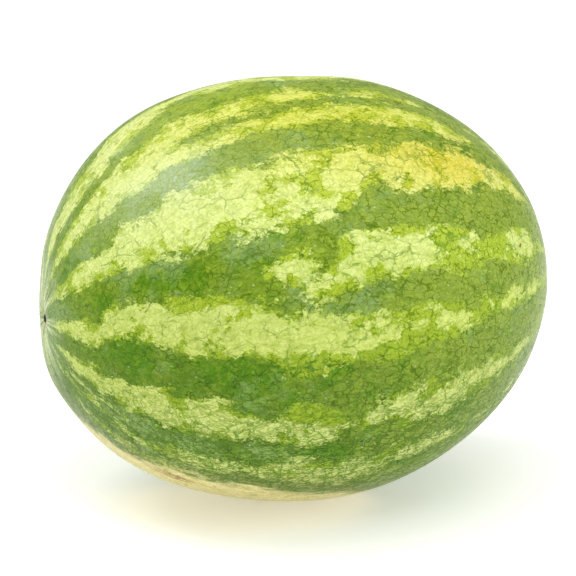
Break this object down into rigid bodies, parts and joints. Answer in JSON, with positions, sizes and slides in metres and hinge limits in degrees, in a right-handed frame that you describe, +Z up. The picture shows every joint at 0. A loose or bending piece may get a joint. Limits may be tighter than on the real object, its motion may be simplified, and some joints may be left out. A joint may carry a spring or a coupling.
{
  "type": "watermelon",
  "caption": "Whole round-oval striped watermelon that lies on its belly, with a blossom button at one end and a dry stalk scar at the other.",
  "frame": {"origin": "centre of the bounding box's bottom face, on the surface the fruit rests on", "axes": "+Z up, X along the fruit with the stem end at +X and the blossom end at -X, -Y the side shown in front"},
  "size_m": [0.2984, 0.2494, 0.2487],
  "materials": {
    "rind": "smooth waxy rind, light green with jagged dark green stripes, a fine net of veins and a cream ground spot, softly glossy"
  },
  "bodies": {
    "root": {"watermelon": "rind"}
  },
  "joints": []
}
